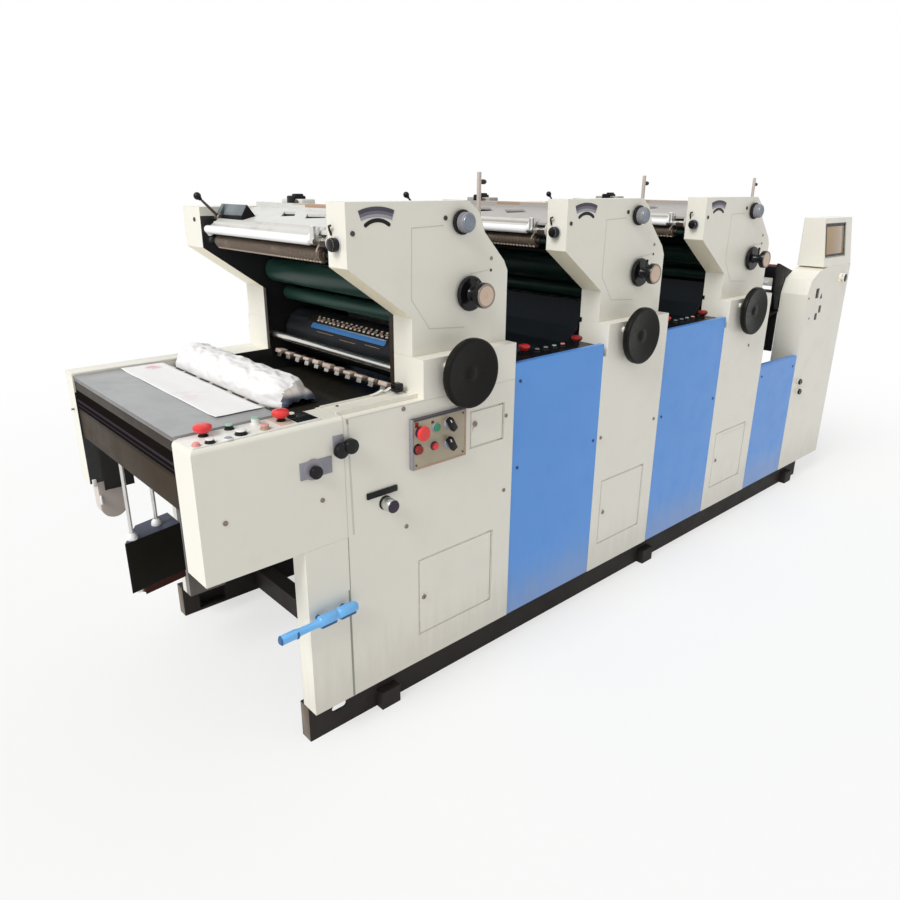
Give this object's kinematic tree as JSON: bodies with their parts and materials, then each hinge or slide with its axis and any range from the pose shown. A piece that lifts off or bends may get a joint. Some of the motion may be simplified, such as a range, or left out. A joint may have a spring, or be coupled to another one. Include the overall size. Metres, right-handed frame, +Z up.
{
  "type": "offset printing press",
  "caption": "Small sheet-fed offset printing press: printing units in line with handwheels and inking rollers, a delivery table at one end and a feeder with a screen at the other.",
  "frame": {"origin": "centre of the press's footprint box, on the floor", "axes": "+X along the press from the delivery to the feeder, +Y from the operator's side to the drive side, +Z up"},
  "size_m": [3.603, 1.07, 1.577],
  "materials": {
    "cream_paint": "semi-gloss enamel",
    "blue_paint": "semi-gloss enamel",
    "black_paint": "satin enamel",
    "grey_sheet": "satin",
    "dark_sheet": "satin",
    "bright_steel": "ground",
    "aluminium": "turned",
    "black_plastic": "gloss",
    "green_rubber": "smooth",
    "blanket": "smooth",
    "tan_panel": "satin",
    "step_blue": "gloss",
    "paper": "matt",
    "pink_guard": "satin",
    "light_grey": "satin"
  },
  "bodies": {
    "frame": {"base_beams": "black_paint", "blue_panels": "blue_paint", "button_trays": "dark_sheet", "chain_cover": "dark_sheet", "control_box": "tan_panel", "cross_members": "black_paint", "deck_fittings": "light_grey", "delivery_boxes": "cream_paint", "delivery_controls": "dark_sheet", "delivery_fascia": "dark_sheet", "delivery_legs": "cream_paint", "delivery_table": "grey_sheet", "drive_covers": "cream_paint", "drive_housings": "cream_paint", "feed_board": "grey_sheet", "feeder_console": "cream_paint", "feeder_head": "dark_sheet", "feeder_pile": "grey_sheet", "feeder_sides": "cream_paint", "floor_lugs": "black_paint", "gripper_row": "bright_steel", "guide_rods": "bright_steel", "ink_ducts": "bright_steel", "inner_rollers": "bright_steel", "operator_cover_1": "cream_paint", "operator_cover_2": "cream_paint", "operator_cover_3": "cream_paint", "operator_housings": "cream_paint", "paper_wrap": "paper", "printed_sheet": "paper", "round_guard": "pink_guard", "step_bar": "step_blue", "top_decks": "cream_paint", "transfer_hoods": "dark_sheet"},
    "cylinder_1": {"blanket_cylinder_1": "blanket", "handwheel_1": "black_plastic"},
    "cylinder_2": {"blanket_cylinder_2": "blanket", "handwheel_2": "black_plastic"},
    "cylinder_3": {"blanket_cylinder_3": "blanket", "handwheel_3": "black_plastic"},
    "upper_roller_1": {"upper_form_roller_1": "green_rubber"},
    "lower_roller_1": {"lower_form_roller_1": "green_rubber"},
    "upper_roller_2": {"upper_form_roller_2": "green_rubber"},
    "lower_roller_2": {"lower_form_roller_2": "green_rubber"},
    "upper_roller_3": {"upper_form_roller_3": "green_rubber"},
    "lower_roller_3": {"lower_form_roller_3": "green_rubber"},
    "ink_knob_1": {"ink_knob_1": "aluminium"},
    "register_knob_1": {"register_knob_1": "black_plastic"},
    "lever_1": {"throw_lever_1": "black_plastic"},
    "door_1": {"access_door_1": "cream_paint"},
    "ink_knob_2": {"ink_knob_2": "aluminium"},
    "register_knob_2": {"register_knob_2": "black_plastic"},
    "lever_2": {"throw_lever_2": "black_plastic"},
    "door_2": {"access_door_2": "cream_paint"},
    "ink_knob_3": {"ink_knob_3": "aluminium"},
    "register_knob_3": {"register_knob_3": "black_plastic"},
    "lever_3": {"throw_lever_3": "black_plastic"},
    "door_3": {"access_door_3": "cream_paint"},
    "control_door": {"control_door": "cream_paint"},
    "carriage": {"pile_carriage": "black_paint"}
  },
  "joints": [
    {"name": "cylinder_1_spin", "type": "hinge", "parent": "frame", "child": "cylinder_1", "pos_m": [-0.9785, -0.535, 1.033], "axis": [0, 1, 0], "continuous": true},
    {"name": "cylinder_2_spin", "type": "hinge", "parent": "frame", "child": "cylinder_2", "pos_m": [-0.1325, -0.535, 1.033], "axis": [0, 1, 0], "continuous": true},
    {"name": "cylinder_3_spin", "type": "hinge", "parent": "frame", "child": "cylinder_3", "pos_m": [0.7135, -0.535, 1.033], "axis": [0, 1, 0], "continuous": true},
    {"name": "upper_roller_1_spin", "type": "hinge", "parent": "frame", "child": "upper_roller_1", "pos_m": [-1.0815, -0.343, 1.256], "axis": [0, 1, 0], "continuous": true},
    {"name": "lower_roller_1_spin", "type": "hinge", "parent": "frame", "child": "lower_roller_1", "pos_m": [-1.0335, -0.343, 1.172], "axis": [0, 1, 0], "continuous": true},
    {"name": "upper_roller_2_spin", "type": "hinge", "parent": "frame", "child": "upper_roller_2", "pos_m": [-0.2355, -0.343, 1.256], "axis": [0, 1, 0], "continuous": true},
    {"name": "lower_roller_2_spin", "type": "hinge", "parent": "frame", "child": "lower_roller_2", "pos_m": [-0.1875, -0.343, 1.172], "axis": [0, 1, 0], "continuous": true},
    {"name": "upper_roller_3_spin", "type": "hinge", "parent": "frame", "child": "upper_roller_3", "pos_m": [0.6105, -0.343, 1.256], "axis": [0, 1, 0], "continuous": true},
    {"name": "lower_roller_3_spin", "type": "hinge", "parent": "frame", "child": "lower_roller_3", "pos_m": [0.6585, -0.343, 1.172], "axis": [0, 1, 0], "continuous": true},
    {"name": "ink_knob_1_turn", "type": "hinge", "parent": "frame", "child": "ink_knob_1", "pos_m": [-0.9515, -0.427, 1.444], "axis": [0, 1, 0], "range_deg": [-150, 150]},
    {"name": "register_knob_1_turn", "type": "hinge", "parent": "frame", "child": "register_knob_1", "pos_m": [-0.9185, -0.427, 1.246], "axis": [0, 1, 0], "range_deg": [-135, 135]},
    {"name": "lever_1_throw", "type": "hinge", "parent": "frame", "child": "lever_1", "pos_m": [-1.2805, 0.403, 1.433], "axis": [0, 1, 0], "range_deg": [0, 45]},
    {"name": "door_1_hinge", "type": "hinge", "parent": "frame", "child": "door_1", "pos_m": [-0.8505, -0.468, 0.348], "axis": [0, 0, 1], "range_deg": [0, 90]},
    {"name": "ink_knob_2_turn", "type": "hinge", "parent": "frame", "child": "ink_knob_2", "pos_m": [-0.1055, -0.427, 1.444], "axis": [0, 1, 0], "range_deg": [-150, 150]},
    {"name": "register_knob_2_turn", "type": "hinge", "parent": "frame", "child": "register_knob_2", "pos_m": [-0.0725, -0.427, 1.246], "axis": [0, 1, 0], "range_deg": [-135, 135]},
    {"name": "lever_2_throw", "type": "hinge", "parent": "frame", "child": "lever_2", "pos_m": [-0.4345, 0.403, 1.433], "axis": [0, 1, 0], "range_deg": [0, 45]},
    {"name": "door_2_hinge", "type": "hinge", "parent": "frame", "child": "door_2", "pos_m": [0.0095, -0.468, 0.357], "axis": [0, 0, 1], "range_deg": [0, 90]},
    {"name": "ink_knob_3_turn", "type": "hinge", "parent": "frame", "child": "ink_knob_3", "pos_m": [0.7405, -0.427, 1.444], "axis": [0, 1, 0], "range_deg": [-150, 150]},
    {"name": "register_knob_3_turn", "type": "hinge", "parent": "frame", "child": "register_knob_3", "pos_m": [0.7735, -0.427, 1.246], "axis": [0, 1, 0], "range_deg": [-135, 135]},
    {"name": "lever_3_throw", "type": "hinge", "parent": "frame", "child": "lever_3", "pos_m": [0.4115, 0.403, 1.433], "axis": [0, 1, 0], "range_deg": [0, 45]},
    {"name": "door_3_hinge", "type": "hinge", "parent": "frame", "child": "door_3", "pos_m": [0.8555, -0.468, 0.357], "axis": [0, 0, 1], "range_deg": [0, 90]},
    {"name": "control_door_hinge", "type": "hinge", "parent": "frame", "child": "control_door", "pos_m": [-0.8125, -0.468, 0.845], "axis": [0, 0, 1], "range_deg": [0, 90]},
    {"name": "pile_lift", "type": "slide", "parent": "frame", "child": "carriage", "axis": [0, 0, 1], "range_m": [0, 0.2]}
  ],
  "couplings": [
    {"joint": "cylinder_2_spin", "follows": "cylinder_1_spin", "ratio": 1},
    {"joint": "cylinder_3_spin", "follows": "cylinder_1_spin", "ratio": 1},
    {"joint": "upper_roller_1_spin", "follows": "cylinder_1_spin", "ratio": 2},
    {"joint": "lower_roller_1_spin", "follows": "cylinder_1_spin", "ratio": 3.3333},
    {"joint": "upper_roller_2_spin", "follows": "cylinder_1_spin", "ratio": 2},
    {"joint": "lower_roller_2_spin", "follows": "cylinder_1_spin", "ratio": 3.3333},
    {"joint": "upper_roller_3_spin", "follows": "cylinder_1_spin", "ratio": 2},
    {"joint": "lower_roller_3_spin", "follows": "cylinder_1_spin", "ratio": 3.3333}
  ]
}
